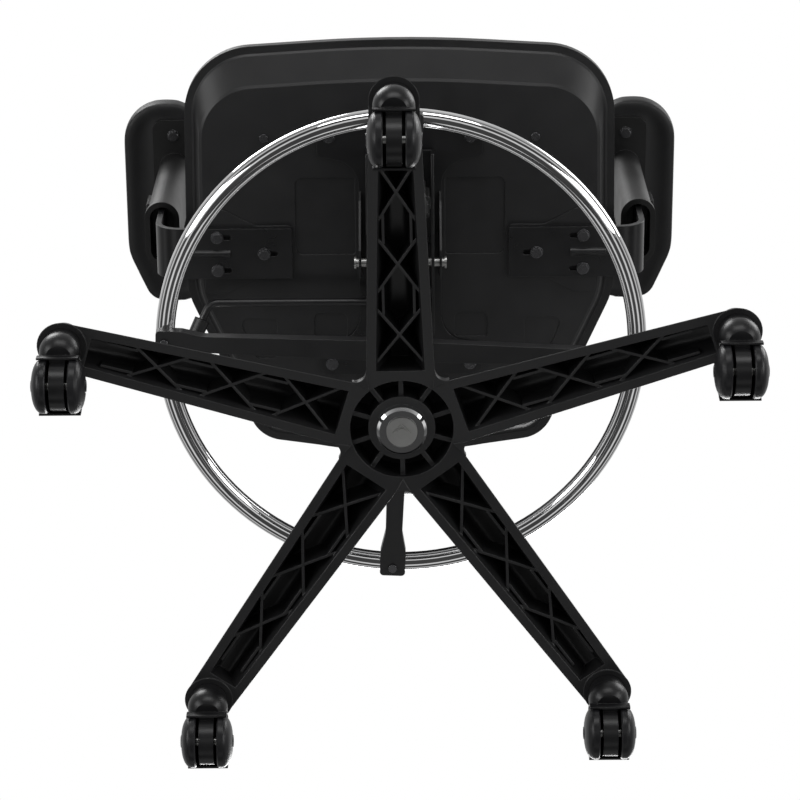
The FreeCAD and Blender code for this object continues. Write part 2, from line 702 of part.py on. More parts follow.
def mech_housing():
    front = HOUSING_FRONT_Y
    rear = HOUSING_REAR_Y
    side = [(front, housing_top(front) - 18), (SPRING_Y + 45, HOUSING_BOTTOM),
            (rear, HOUSING_BOTTOM), (rear, housing_top(rear)),
            (PIVOT_Y, housing_top(PIVOT_Y)), (front, housing_top(front))]
    outer = side_slab(side, -HOUSING_HALF, HOUSING_HALF)
    lid = HOUSING_WALL
    inner = [(front - 5, 300), (rear - HOUSING_WALL, 300), (rear - HOUSING_WALL, housing_top(rear) - lid),
             (PIVOT_Y, housing_top(PIVOT_Y) - lid), (front - 5, housing_top(front) - lid)]
    body = outer.cut(side_slab(inner, -HOUSING_INNER, HOUSING_INNER))
    socket = rod(CYLINDER_D / 2 + 5, (0, 0, HOUSING_BOTTOM - 8), CYLINDER_TOP - HOUSING_BOTTOM + 2)
    brace = block(-HOUSING_INNER, HOUSING_INNER, -4, 4, HOUSING_BOTTOM + 2, CYLINDER_TOP - 8)
    body = joined([body, socket, brace])
    body = body.cut(rod(CYLINDER_D / 2, (0, 0, 300), CYLINDER_TOP - 300 + 4))
    body = body.cut(rod(PIN_D / 2, (-60, PIVOT_Y, PIVOT_Z), 120, X))
    slot = block(-TENSION_BOLT_D / 2 - 1, TENSION_BOLT_D / 2 + 1, SPRING_Y - 17, SPRING_Y + 17, 480, 560)
    body = body.cut(slot)
    lugs = []
    for way in (-1, 1):
        near = LEVER_Y + way * (LEVER_D / 2 + FREE_GAP)
        far = LEVER_Y + way * (TRUNNION_LENGTH / 2 + 2)
        lugs.append(block(-HOUSING_INNER - 1, LEVER_TURN_X + 6, min(near, far), max(near, far),
                          LEVER_Z - 7, LEVER_Z + 4))
    body = joined([body] + lugs)
    bearing = rod(TRUNNION_R + SLIDE_FIT, (LEVER_TURN_X, LEVER_Y - TRUNNION_LENGTH / 2 - SKIN_GAP, LEVER_Z),
                  TRUNNION_LENGTH + 2 * SKIN_GAP, Y)
    half = LEVER_D / 2 + 1.5
    lever_slot = block(-HOUSING_HALF - 1, -HOUSING_INNER + 1, LEVER_Y - half, LEVER_Y + half,
                       LEVER_Z - half, LEVER_Z + half)
    return body.cut(bearing).cut(lever_slot)


def mech_pivot_pin():
    half = PLATE_WAIST + 2
    pin = rod(PIN_D / 2, (-half - 1, PIVOT_Y, PIVOT_Z), 2 * half + 2, X)
    heads = [rod(PIN_D / 2 + 2, (x, PIVOT_Y, PIVOT_Z), 2, X) for x in (-half - 3, half + 1)]
    return joined([pin] + heads)


def tilt_spring():
    top = housing_top(SPRING_Y) - HOUSING_WALL - 0.3
    bottom = KNOB_TOP + 0.3 + FREE_GAP
    height = top - bottom - SPRING_WIRE
    pitch = height / SPRING_COILS
    radius = SPRING_D / 2 - SPRING_WIRE / 2
    helix = Part.makeHelix(pitch, height, radius)
    start = vec(radius, 0, 0)
    along = helix.Edges[0].tangentAt(helix.Edges[0].FirstParameter)
    ring = Part.Wire(Part.Circle(start, along, SPRING_WIRE / 2).toShape())
    coil = Part.Wire(helix.Edges).makePipeShell([ring], True, True)
    return moved(coil, 0, SPRING_Y, bottom + SPRING_WIRE / 2)


def tension_bolt():
    shank = rod(TENSION_BOLT_D / 2, (0, SPRING_Y, KNOB_TOP - 22), PLATE_UNDER - KNOB_TOP + 22)
    head = block(-12, 12, SPRING_Y - 8, SPRING_Y + 8, PLATE_UNDER - 3, PLATE_UNDER)
    return joined([shank, head])


def tension_knob():
    radius = KNOB_D / 2
    bottom = KNOB_TOP - KNOB_HEIGHT
    body = spun([(0, 0), (0, radius - 6), (3, radius - 2.5), (KNOB_HEIGHT - 3, radius - 2.5),
                 (KNOB_HEIGHT, radius - 6), (KNOB_HEIGHT, 0)], vec(0, SPRING_Y, bottom), Z, X)
    flutes = []
    for k in range(20):
        angle = math.radians(18 * k)
        flutes.append(rod(2.6, ((radius - 2.6) * math.cos(angle),
                                SPRING_Y + (radius - 2.6) * math.sin(angle), bottom + 2),
                          KNOB_HEIGHT - 4))
    body = joined([body] + flutes)
    bore = rod(TENSION_BOLT_D / 2 + SLIDE_FIT, (0, SPRING_Y, KNOB_TOP - 23), 24)
    return body.cut(bore)


def lever_rod():
    bend = vec(-LEVER_REACH, LEVER_Y, LEVER_Z)
    tip = bend + GRIP_WAY * 30
    inner = LEVER_TURN_X + 7
    half = LEVER_D / 2
    path = route([(vec(inner, LEVER_Y, LEVER_Z), 0), (bend, 14), (tip, 0)], False)
    arm = swept(path, half)
    plan = [(inner - 5, LEVER_Y - half, 1), (inner, LEVER_Y - half, 1), (-VALVE_D / 2, -VALVE_D, 3),
            (VALVE_D, -VALVE_D, 3), (VALVE_D, VALVE_D, 3), (-VALVE_D / 2, VALVE_D, 3),
            (inner, LEVER_Y + half, 1), (inner - 5, LEVER_Y + half, 1)]
    tongue = slab(plan, LEVER_Z - half, LEVER_Z - half + 3.5)
    trunnion = rod(TRUNNION_R, (LEVER_TURN_X, LEVER_Y - TRUNNION_LENGTH / 2, LEVER_Z), TRUNNION_LENGTH, Y)
    return joined([arm, tongue, trunnion])


def lever_grip():
    bend = vec(-LEVER_REACH, LEVER_Y, LEVER_Z)
    along = GRIP_WAY
    start = bend + along * 20
    core = Part.makeCone(8.5, 7.0, GRIP_LENGTH, start, along)
    ball = Part.makeSphere(7.0, start + along * GRIP_LENGTH)
    grip = joined([core, ball])
    bore = Part.makeCylinder(LEVER_D / 2, 12, start - along * 1, along)
    return grip.cut(bore)


# ---- seat
def seat_outline(inset, z, front=0.0, rear=0.0):
    """The seat in plan, drawn in by inset, and by front and rear more at those edges."""
    half = SEAT_WIDTH / 2
    fore = SEAT_FRONT + front
    aft = SEAT_REAR - rear
    points = [(0, fore, 1500), (half - 4, fore + 14, SEAT_CORNER_R),
              (half, 22, 90), (SEAT_REAR_HALF, aft - 20, 42), (0, aft + 3, 600),
              (-SEAT_REAR_HALF, aft - 20, 42), (-half, 22, 90),
              (4 - half, fore + 14, SEAT_CORNER_R)]
    return outline(drawn_in(points, inset), z)


def pan_outline(inset, z, flat=0.0):
    """The pan in plan. At flat = 1 the front and rear edges are those of its flat middle."""
    return seat_outline(PAN_INSET + inset, z, flat * FLOOR_FRONT, PAN_REAR_INSET + flat * FLOOR_REAR)


def tray_layers(grow, up):
    """Outlines up the pan's wall, from its flat middle to its rim: grow is outward, up is in z."""
    steps = [(FLOOR_SIDE, PAN_UNDER, 1.0), (FLOOR_SIDE - FLOOR_STEP / 2, PAN_UNDER + FLOOR_STEP / 3, 1.0),
             (PAN_FLANGE + PAN_GROOVE, PAN_EDGE_Z - PAN_GROOVE, 0.0), (PAN_FLANGE, PAN_EDGE_Z, 0.0)]
    return [pan_outline(inset - grow, z + up, flat) for inset, z, flat in steps]


def stacked(wires):
    return Part.makeLoft(wires, True, True)


def seat_plate_plan():
    wing = BOLT_HALF_X + PLATE_MARGIN
    waist = PLATE_WAIST
    front = BOLT_FRONT_Y
    rear = BOLT_REAR_Y
    margin = PLATE_MARGIN
    right = [(wing, front - margin, 10), (wing, front + PLATE_WING, 6),
             (waist, front + PLATE_WING + 8, PLATE_CURVE_R), (waist, rear - PLATE_WING - 8, PLATE_CURVE_R),
             (wing, rear - PLATE_WING, 6), (wing, rear + margin, 10)]
    left = [(-x, y, r) for x, y, r in reversed(right)]
    return right + left


def seat_plate():
    plate = slab(seat_plate_plan(), PLATE_UNDER, PAN_UNDER)
    ears = []
    for x in (-PLATE_WAIST, PLATE_WAIST - FLANGE_THICK):
        low = PIVOT_Z - PIN_D
        ear = side_slab([(PIVOT_Y - 68, PLATE_UNDER + 1), (PIVOT_Y - 60, PLATE_UNDER - 12),
                         (PIVOT_Y - 16, low), (PIVOT_Y + 14, low), (PIVOT_Y + 26, PLATE_UNDER + 1)],
                        x, x + FLANGE_THICK)
        ears.append(ear)
    whole = joined([plate] + ears)
    whole = whole.cut(rod(PIN_D / 2 + SLIDE_FIT, (-80, PIVOT_Y, PIVOT_Z), 160, X))
    for x, y in plate_bolt_places():
        whole = whole.cut(rod(BOLT_D / 2, (x, y, PLATE_UNDER - 5), 20))
    return whole


def arm_bolt_places():
    places = []
    for side in (-1, 1):
        places.append((side * ARM_BOLT_X, STRAP_MID_Y - ARM_BOLT_HALF_Y))
        places.append((side * ARM_BOLT_X, STRAP_MID_Y + ARM_BOLT_HALF_Y))
        places.append((side * ARM_BOLT_INNER_X, STRAP_MID_Y))
    return places


def back_bolt_places():
    return [(-BAR_WIDTH / 4, BAR_START_Y + 16), (BAR_WIDTH / 4, BAR_START_Y + 16),
            (0, BAR_START_Y + 52)]


def pan_screw_places():
    return [(-PAN_SCREW_X, PAN_SCREW_Y), (PAN_SCREW_X, PAN_SCREW_Y)]


def pan_pocket_plans():
    """Shallow pockets in the pan's underside, on the +X side: (x, y, corner radius)."""
    plate_side = PLATE_WAIST + 14
    rear = BOLT_REAR_Y
    return [[(plate_side - 10, -112, 3), (BOLT_HALF_X + 37, -112, 8), (BOLT_HALF_X + 37, -26, 8),
             (plate_side - 10, -26, 3)],
            [(plate_side, rear - 58, 8), (plate_side + 36, rear - 58, 8), (plate_side + 36, rear - 30, 3),
             (plate_side, rear - 30, 3)],
            [(134, rear - 52, 5), (176, rear - 52, 8), (158, rear - 6, 8), (134, rear - 6, 5)]]


def arm_pad_plan():
    """Raised pad under the pan for an arm bracket, on the +X side."""
    inner = ARM_BOLT_INNER_X + 8
    outer = SEAT_WIDTH / 2 - PAN_INSET - FLOOR_SIDE - 2
    narrow = STRAP_WIDTH / 2 + 1
    wide = narrow + 18
    middle = STRAP_MID_Y
    return [(inner - 38, middle - narrow, 4), (inner, middle - narrow, 12), (outer - 22, middle - wide, 12),
            (outer, middle - wide, 6), (outer, middle + wide, 6), (outer - 22, middle + wide, 12),
            (inner, middle + narrow, 12), (inner - 38, middle + narrow, 4)]


def seat_pan():
    rim_top = CUSHION_UNDER
    tray = tray_layers(0, 0)
    rim = [pan_outline(0, PAN_EDGE_Z), pan_outline(0, rim_top)]
    pads = []
    cuts = [stacked(tray_layers(-PAN_THICK, PAN_THICK)),
            Part.makeLoft([pan_outline(PAN_FLANGE + PAN_THICK, PAN_EDGE_Z), pan_outline(PAN_THICK, rim_top)],
                          True, True)]
    for side in (-1, 1):
        def plate(points, low, high):
            return slab([(side * x, y, r) for x, y, r in points], low, high)
        pads.append(plate(arm_pad_plan(), PAN_UNDER - ARM_PAD_RISE, PAN_UNDER + 1))
        for plan in pan_pocket_plans():
            cuts.append(plate(plan, PAN_UNDER - 1, PAN_UNDER + POCKET_DEPTH))
    pan = joined([stacked(tray), Part.makeLoft(rim, True, True)] + pads)
    cuts += [rod(BOLT_D / 2, (x, y, PAN_UNDER - 5), 20) for x, y in all_pan_bolts()]
    return pan.cut(cuts[0].multiFuse(cuts[1:]))


def seat_bolts():
    """The bolts that hold the seat plate, the arm brackets and the back bar to the pan."""
    bolts = [hex_bolt(x, y, PLATE_UNDER, PLATE_THICK + PAN_THICK - 1) for x, y in plate_bolt_places()]
    bolts += [hex_bolt(x, y, STRAP_UNDER, STRAP_THICK + ARM_PAD_RISE + PAN_THICK - 1)
              for x, y in arm_bolt_places()]
    bolts += [hex_bolt(x, y, PAN_UNDER - BAR_THICK, BAR_THICK + PAN_THICK - 1)
              for x, y in back_bolt_places()]
    return group(bolts)


def plate_bolt_places():
    return [(x, y) for x in (-BOLT_HALF_X, BOLT_HALF_X) for y in (BOLT_FRONT_Y, BOLT_REAR_Y)]


def all_pan_bolts():
    return plate_bolt_places() + arm_bolt_places() + back_bolt_places()


def pan_screws():
    screws = []
    for x, y in pan_screw_places():
        head = spun([(0, 0), (0, 3.4), (-1.2, 5.0), (-2.2, 4.4), (-2.2, 0)], vec(x, y, PAN_UNDER), Z, X)
        screws.append(head)
    return group(screws)


def seat_cushion():
    base_z = CUSHION_UNDER
    low = pan_outline(PAN_THICK + SLIDE_FIT, base_z)
    mid = seat_outline(0, base_z + 16)
    high = seat_outline(0, base_z + CUSHION_THICK - 30)
    crown = seat_outline(16, base_z + CUSHION_THICK - 8)
    top = seat_outline(46, base_z + CUSHION_THICK)
    return stacked(tray_layers(-PAN_THICK, PAN_THICK)[:3] + [low, mid, high, crown, top])


# ---- arms, drawn on the +X side
def arm_bracket():
    line_z = STRAP_UNDER + STRAP_THICK / 2
    corners = [(vec(STRAP_INNER_X, 0, line_z), 0), (vec(ARM_X, 0, line_z), STRAP_BEND_R),
               (vec(ARM_X, 0, UPRIGHT_TOP), 0)]
    width = vec(0, STRAP_WIDTH, 0)
    start = vec(0, STRAP_MID_Y - STRAP_WIDTH / 2, 0)
    strap = bent_strip(corners, STRAP_THICK, width, start)
    half = upright_half()
    low = SLEEVE_BOTTOM - 27
    trim = block(ARM_X - 20, ARM_X + 20, STRAP_MID_Y - 60, STRAP_MID_Y - half, low, UPRIGHT_TOP + 10)
    strap = strap.cut(trim).cut(moved(trim, 0, 60 + half))
    bead_end = ARM_X - STRAP_BEND_R
    bead_start = ARM_BOLT_X - 14
    bead = rod(BEAD_R, (bead_start, STRAP_MID_Y, STRAP_UNDER + BEAD_SUNK), bead_end - bead_start, X)
    strap = joined([strap, bead])
    for x, y in arm_bolt_places():
        if x > 0:
            hole = rod(BOLT_D / 2, (x, y, STRAP_UNDER - 10), 30)
            far = moved(hole, -SLOT_LENGTH, 0)
            gap = block(x - SLOT_LENGTH, x, y - BOLT_D / 2, y + BOLT_D / 2,
                        STRAP_UNDER - 10, STRAP_UNDER + 20)
            strap = strap.cut(joined([hole, far, gap]))
    return strap


def upright_half():
    """Half the width, front to back, of the bracket's part inside the sleeve."""
    return SLEEVE_LENGTH_Y / 2 - SLEEVE_WALL - 1


def oval(half_x, half_y, z0, z1):
    radius = min(half_x, half_y) - 0.01
    points = [(ARM_X - half_x, STRAP_MID_Y - half_y, radius), (ARM_X + half_x, STRAP_MID_Y - half_y, radius),
              (ARM_X + half_x, STRAP_MID_Y + half_y, radius), (ARM_X - half_x, STRAP_MID_Y + half_y, radius)]
    return slab(points, z0, z1)


def arm_sleeve():
    half_x = SLEEVE_WIDTH_X / 2
    half_y = SLEEVE_LENGTH_Y / 2
    plate_z = PAD_UNDER - SLEEVE_PLATE
    body = oval(half_x, half_y, SLEEVE_BOTTOM, plate_z)
    rim = oval(half_x + 2, half_y + 2, SLEEVE_BOTTOM, SLEEVE_BOTTOM + 8)
    plate = slab([(ARM_X + x * PLATE_HALF_X, STRAP_MID_Y + y * PLATE_HALF_Y, PLATE_HALF_X / 2)
                  for x, y in ((-1, -1), (1, -1), (1, 1), (-1, 1))], plate_z, PAD_UNDER)
    whole = joined([body, rim, plate])
    bore_x = STRAP_THICK / 2 + SLIDE_FIT
    bore_y = upright_half() + SLIDE_FIT
    bore = block(ARM_X - bore_x, ARM_X + bore_x, STRAP_MID_Y - bore_y, STRAP_MID_Y + bore_y,
                 SLEEVE_BOTTOM - 5, UPRIGHT_TOP + 5)
    mouth = oval(half_x - SLEEVE_WALL, half_y - SLEEVE_WALL, SLEEVE_BOTTOM - 5, SLEEVE_BOTTOM + 34)
    pocket = block(ARM_X + bore_x + 3, ARM_X + 40, STRAP_MID_Y - BUTTON_HALF_Y - SKIN_GAP,
                   STRAP_MID_Y + BUTTON_HALF_Y + SKIN_GAP,
                   BUTTON_Z - BUTTON_HALF_Z - SKIN_GAP, BUTTON_Z + BUTTON_HALF_Z + SKIN_GAP)
    whole = whole.cut(bore).cut(mouth).cut(pocket)
    for y in pad_screw_rows():
        whole = whole.cut(rod(BOLT_D / 2, (ARM_X, y, plate_z - 4), SLEEVE_PLATE + 6))
    return whole


def pad_screw_rows():
    return (STRAP_MID_Y - PAD_SCREW_Y, STRAP_MID_Y + PAD_SCREW_Y)


def arm_pad_screws():
    under = PAD_UNDER - SLEEVE_PLATE
    return group([hex_bolt(ARM_X, y, under, SLEEVE_PLATE + 8, 3.5) for y in pad_screw_rows()])


def arm_button():
    start = ARM_X + STRAP_THICK / 2 + SLIDE_FIT + 3 + BUTTON_TRAVEL + SKIN_GAP
    end = ARM_X + SLEEVE_WIDTH_X / 2 + BUTTON_OUT
    body = block(start, end, STRAP_MID_Y - BUTTON_HALF_Y, STRAP_MID_Y + BUTTON_HALF_Y,
                 BUTTON_Z - BUTTON_HALF_Z, BUTTON_Z + BUTTON_HALF_Z)
    ribs = []
    for k in range(5):
        z = BUTTON_Z - BUTTON_HALF_Z + 5 + k * 6
        ribs.append(rod(1.4, (end, STRAP_MID_Y - BUTTON_HALF_Y + 2, z), 2 * BUTTON_HALF_Y - 4, Y))
    return joined([body] + ribs)


def arm_pad():
    half = PAD_WIDTH / 2
    front = STRAP_MID_Y + PAD_FORWARD - PAD_LENGTH / 2
    rear = front + PAD_LENGTH
    inner = PAD_MID_X - half
    outer = PAD_MID_X + half
    points = [(inner, front, half * 0.88), (outer, front, half * 0.96), (outer, rear - 60, 60),
              (outer - 26, rear, 22), (inner + 8, rear, 26)]
    body = slab(points, PAD_UNDER, PAD_UNDER + PAD_THICK)
    lip = Part.Face(outline(points, PAD_UNDER).makeOffset2D(-12)).extrude(vec(0, 0, 3))
    body = body.cut(lip)
    seat = block(ARM_X - PLATE_HALF_X, ARM_X + PLATE_HALF_X, STRAP_MID_Y - PLATE_HALF_Y,
                 STRAP_MID_Y + PLATE_HALF_Y, PAD_UNDER, PAD_UNDER + 3)
    body = joined([body, seat.common(slab(points, PAD_UNDER, PAD_UNDER + 3))])
    for y in pad_screw_rows():
        body = body.cut(rod(BOLT_D / 2, (ARM_X, y, PAD_UNDER - 1), 10))
    return body


# ---- back, drawn upright at y = 0 and z = 0 of the lean axis, then leaned and moved back
def leaned(shape):
    copy = turned(shape, -BACK_LEAN, X)
    return moved(copy, 0, BAR_BACK_Y, PAN_UNDER - BAR_THICK / 2)


def back_bar():
    line_z = PAN_UNDER - BAR_THICK / 2
    length = (BAR_TOP - line_z) / math.cos(LEAN)
    top = vec(0, BAR_BACK_Y + length * math.sin(LEAN), line_z + length * math.cos(LEAN))
    corners = [(vec(0, BAR_START_Y, line_z), 0), (vec(0, BAR_BACK_Y, line_z), BAR_BEND_R), (top, 0)]
    bar = bent_strip(corners, BAR_THICK, vec(BAR_WIDTH, 0, 0), vec(-BAR_WIDTH / 2, 0, 0))
    for x, y in back_bolt_places():
        bar = bar.cut(rod(BOLT_D / 2, (x, y, line_z - 10), 30))
    return bar


def back_outline(inset):
    top = FRAME_LOW + BACK_HEIGHT
    half = BACK_WIDTH / 2
    points = [(-half * 0.72, FRAME_LOW, 60), (half * 0.72, FRAME_LOW, 60), (half, FRAME_LOW + 190, 190),
              (half * 0.93, top, 70), (-half * 0.93, top, 70), (-half, FRAME_LOW + 190, 190)]
    wire = outline(points)
    if inset:
        wire = wire.makeOffset2D(-inset)
    face = Part.Face(wire)
    face.rotate(ORIGIN, X, 90)
    face.translate(vec(0, 300, 0))
    return face.extrude(vec(0, -600, 0))


def curved_sheet(inward, outward):
    """Part of an upright drum wall, hollow side to the sitter, measured from the frame's front."""
    centre = FRAME_SHIFT - BACK_CURVE_R
    wall = pipe(BACK_CURVE_R + outward, BACK_CURVE_R + inward, (0, centre, 0), 900)
    return wall.common(block(-400, 400, centre, 400, 0, 900))


def back_frame():
    ring = curved_sheet(0, BACK_FRAME_THICK).common(back_outline(0))
    ring = ring.cut(back_outline(BACK_FRAME_WIDTH))
    rear = FRAME_SHIFT + BACK_FRAME_THICK
    spine = block(-30, 30, FRAME_SHIFT + 7, rear, CARRIER_LOW, CARRIER_HIGH)
    bridge = block(-BACK_WIDTH / 2, BACK_WIDTH / 2, -300, 300, CARRIER_HIGH - 22, CARRIER_HIGH + 2)
    bridge = curved_sheet(7, BACK_FRAME_THICK).common(bridge).common(back_outline(2))
    return leaned(joined([ring, spine, bridge]))


def back_mesh():
    return leaned(curved_sheet(-MESH_THICK, 0).common(back_outline(4)))


def lumbar_support():
    middle = CARRIER_LOW + CARRIER_HEIGHT / 2 + 16
    band = block(-BACK_WIDTH / 2, BACK_WIDTH / 2, -300, 300, middle - 26, middle + 26)
    bar = curved_sheet(1, 1 + LUMBAR_THICK).common(band).common(back_outline(BACK_FRAME_WIDTH))
    return leaned(bar)


def back_carrier():
    outer_y = BAR_THICK / 2 + SLIDE_FIT + CARRIER_WALL
    inner_x = BAR_WIDTH / 2 + SLIDE_FIT
    shell = block(-inner_x - 5, inner_x + 5, -outer_y, outer_y, CARRIER_LOW, CARRIER_HIGH)
    shell = shell.makeFillet(4, [e for e in shell.Edges if abs(e.Length - CARRIER_HIGH + CARRIER_LOW) < 0.1])
    hollow = block(-inner_x, inner_x, -BAR_THICK / 2 - SLIDE_FIT, BAR_THICK / 2 + SLIDE_FIT, 0, 900)
    shell = shell.cut(hollow)
    boss = rod(13, (0, outer_y - 1, KNOB_UP), 7, Y)
    stud = rod(BACK_STUD_R + SLIDE_FIT, (0, 0, KNOB_UP), 60, Y)
    return leaned(joined([shell, boss]).cut(stud))


def back_knob():
    start = BAR_THICK / 2 + SLIDE_FIT + CARRIER_WALL + 6 + FREE_GAP
    core = rod(BACK_KNOB_D / 2 - 3, (0, start, KNOB_UP), 22, Y)
    lobes = []
    for k in range(5):
        angle = math.radians(72 * k + 90)
        reach = BACK_KNOB_D / 2 - 8
        lobes.append(rod(8, (reach * math.cos(angle), start, KNOB_UP + reach * math.sin(angle)), 22, Y))
    stud = rod(BACK_STUD_R, (0, BAR_THICK / 2 + 1, KNOB_UP), start - BAR_THICK / 2, Y)
    return leaned(joined([core, stud] + lobes))


# ---- write one file per piece
def all_parts():
    parts = {
        "star_base": star_base(),
        "column_outer_tube": column_outer_tube(),
        "column_guide_bush": column_guide_bush(),
        "thrust_bearing": thrust_bearing(),
        "piston_rod": piston_rod(),
        "column_clip": column_clip(),
        "gas_cylinder": gas_cylinder(),
        "valve_button": valve_button(),
        "ring_tube": ring_tube().cut(ring_tube(-RING_TUBE_WALL)),
        "ring_spider": ring_spider(),
        "ring_screws": ring_screws(),
        "ring_knob": ring_knob(),
        "mech_housing": mech_housing(),
        "mech_pivot_pin": mech_pivot_pin(),
        "tilt_spring": tilt_spring(),
        "tension_bolt": tension_bolt(),
        "tension_knob": tension_knob(),
        "lever_rod": lever_rod(),
        "lever_grip": lever_grip(),
        "seat_plate": seat_plate(),
        "seat_bolts": seat_bolts(),
        "seat_pan": seat_pan(),
        "pan_screws": pan_screws(),
        "seat_cushion": seat_cushion(),
        "back_bar": back_bar(),
        "back_frame": back_frame(),
        "back_mesh": back_mesh(),
        "lumbar_support": lumbar_support(),
        "back_carrier": back_carrier(),
        "back_knob": back_knob(),
    }
    caster = {"hood": caster_hood(), "pins": caster_pins(), "wheel_a": wheel(-1), "wheel_b": wheel(1)}
    for index in range(LEG_COUNT):
        x, y = caster_place(index)
        for piece, shape in caster.items():
            parts[f"caster_{index + 1}_{piece}"] = moved(shape, x, y)
    arm = {"bracket": arm_bracket(), "sleeve": arm_sleeve(), "pad": arm_pad(), "button": arm_button(),
           "pad_screws": arm_pad_screws()}
    for piece, shape in arm.items():
        parts[f"arm_left_{piece}"] = shape
        parts[f"arm_right_{piece}"] = mirrored(shape)
    return parts


os.makedirs("parts", exist_ok=True)
for name, shape in all_parts().items():
    if not shape.isValid() or not shape.Solids:
        print("check", name, shape.isValid(), len(shape.Solids))
    shape.exportStep(f"parts/{name}.step")
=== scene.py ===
"""Looks of the height-adjustable drafting chair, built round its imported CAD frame. Metres, +Z up."""

import json
import math

import bpy
import numpy as np
from mathutils import Matrix, Vector
from mathutils.bvhtree import BVHTree


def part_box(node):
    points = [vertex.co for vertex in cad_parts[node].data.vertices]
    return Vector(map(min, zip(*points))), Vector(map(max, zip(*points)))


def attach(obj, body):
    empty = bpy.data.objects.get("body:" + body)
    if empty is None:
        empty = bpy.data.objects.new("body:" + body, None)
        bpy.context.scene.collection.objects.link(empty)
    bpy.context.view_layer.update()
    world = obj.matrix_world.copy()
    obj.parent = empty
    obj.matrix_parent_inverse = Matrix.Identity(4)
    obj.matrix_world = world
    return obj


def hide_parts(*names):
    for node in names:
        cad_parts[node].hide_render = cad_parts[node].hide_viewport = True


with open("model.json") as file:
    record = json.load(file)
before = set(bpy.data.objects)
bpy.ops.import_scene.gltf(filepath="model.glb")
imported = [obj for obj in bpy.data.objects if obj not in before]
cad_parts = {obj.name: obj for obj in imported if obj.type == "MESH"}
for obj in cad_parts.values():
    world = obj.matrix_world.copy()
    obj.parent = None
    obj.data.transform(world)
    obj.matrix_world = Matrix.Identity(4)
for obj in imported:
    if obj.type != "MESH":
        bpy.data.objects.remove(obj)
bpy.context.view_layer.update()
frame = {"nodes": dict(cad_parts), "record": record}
NODES = frame["nodes"]

# ---- camera: below the chair and in front of it, looking up
VIEW_TILT = math.radians(21.01)      # from straight up, towards the back
VIEW_ROLL = math.radians(0.41)
VIEW_AIM = Vector((-0.0015, -0.0356, 0.0777))
VIEW_DISTANCE = 2.725
VIEW_LENS = 132.33
SENSOR = 36.0


def make_camera():
    """Looks up from under the front of the seat, with the chair's front at the top of the view."""
    along = Vector((0, math.sin(VIEW_TILT), math.cos(VIEW_TILT)))
    up = Vector((0, -math.cos(VIEW_TILT), math.sin(VIEW_TILT)))
    right = Vector((1, 0, 0))
    turned_right = right * math.cos(VIEW_ROLL) - up * math.sin(VIEW_ROLL)
    turned_up = right * math.sin(VIEW_ROLL) + up * math.cos(VIEW_ROLL)
    data = bpy.data.cameras.new("camera")
    data.lens = VIEW_LENS
    data.sensor_width = SENSOR
    data.clip_end = 50
    camera = bpy.data.objects.new("camera", data)
    bpy.context.scene.collection.objects.link(camera)
    axes = Matrix((turned_right, turned_up, -along)).transposed().to_4x4()
    camera.matrix_world = Matrix.Translation(VIEW_AIM - along * VIEW_DISTANCE) @ axes
    bpy.context.scene.camera = camera


# ---- light
DOME_LOW = 0.05          # straight below the chair
DOME_HIGH = 0.7          # straight above it
DOME_BANDS = [(0.04, 0.05), (0.07, 0.75), (0.12, 0.60), (0.15, 0.04), (0.30, 0.05), (0.38, 0.55),
              (0.45, 0.70), (0.49, 0.10), (0.56, 0.15), (0.75, 0.5)]


def make_world():
    """White behind everything, and a softer grey dome that lights the object."""
    world = bpy.data.worlds.new("studio")
    bpy.context.scene.world = world
    world.use_nodes = True
    nodes = world.node_tree.nodes
    links = world.node_tree.links
    nodes.clear()
    out = nodes.new("ShaderNodeOutputWorld")
    mix = nodes.new("ShaderNodeMixShader")
    path = nodes.new("ShaderNodeLightPath")
    dome = nodes.new("ShaderNodeBackground")
    backdrop = nodes.new("ShaderNodeBackground")
    place = nodes.new("ShaderNodeTexCoord")
    parts = nodes.new("ShaderNodeSeparateXYZ")
    ramp = nodes.new("ShaderNodeValToRGB")
    height = nodes.new("ShaderNodeMapRange")
    height.inputs["From Min"].default_value = -1
    links.new(place.outputs["Generated"], parts.inputs[0])
    links.new(parts.outputs["Z"], height.inputs["Value"])
    links.new(height.outputs["Result"], ramp.inputs["Fac"])
    links.new(ramp.outputs["Color"], dome.inputs["Color"])
    ramp.color_ramp.elements[0].position = 0.0
    ramp.color_ramp.elements[0].color = (DOME_LOW, DOME_LOW, DOME_LOW, 1)
    ramp.color_ramp.elements[1].position = 1.0
    ramp.color_ramp.elements[1].color = (DOME_HIGH, DOME_HIGH, DOME_HIGH, 1)
    for where, grey in DOME_BANDS:
        ramp.color_ramp.elements.new(where).color = (grey, grey, grey, 1)
    dome.inputs["Strength"].default_value = 1.0
    backdrop.inputs["Color"].default_value = (1, 1, 1, 1)
    backdrop.inputs["Strength"].default_value = 1.0
    links.new(path.outputs["Is Camera Ray"], mix.inputs["Fac"])
    links.new(dome.outputs[0], mix.inputs[1])
    links.new(backdrop.outputs[0], mix.inputs[2])
    links.new(mix.outputs[0], out.inputs["Surface"])


def softbox(name, place, aim, width, height, power):
    data = bpy.data.lights.new(name, "AREA")
    data.shape = "RECTANGLE"
    data.size = width
    data.size_y = height
    data.energy = power
    lamp = bpy.data.objects.new(name, data)
    bpy.context.scene.collection.objects.link(lamp)
    lamp.location = place
    lamp.rotation_euler = (Vector(aim) - Vector(place)).to_track_quat("-Z", "Y").to_euler()


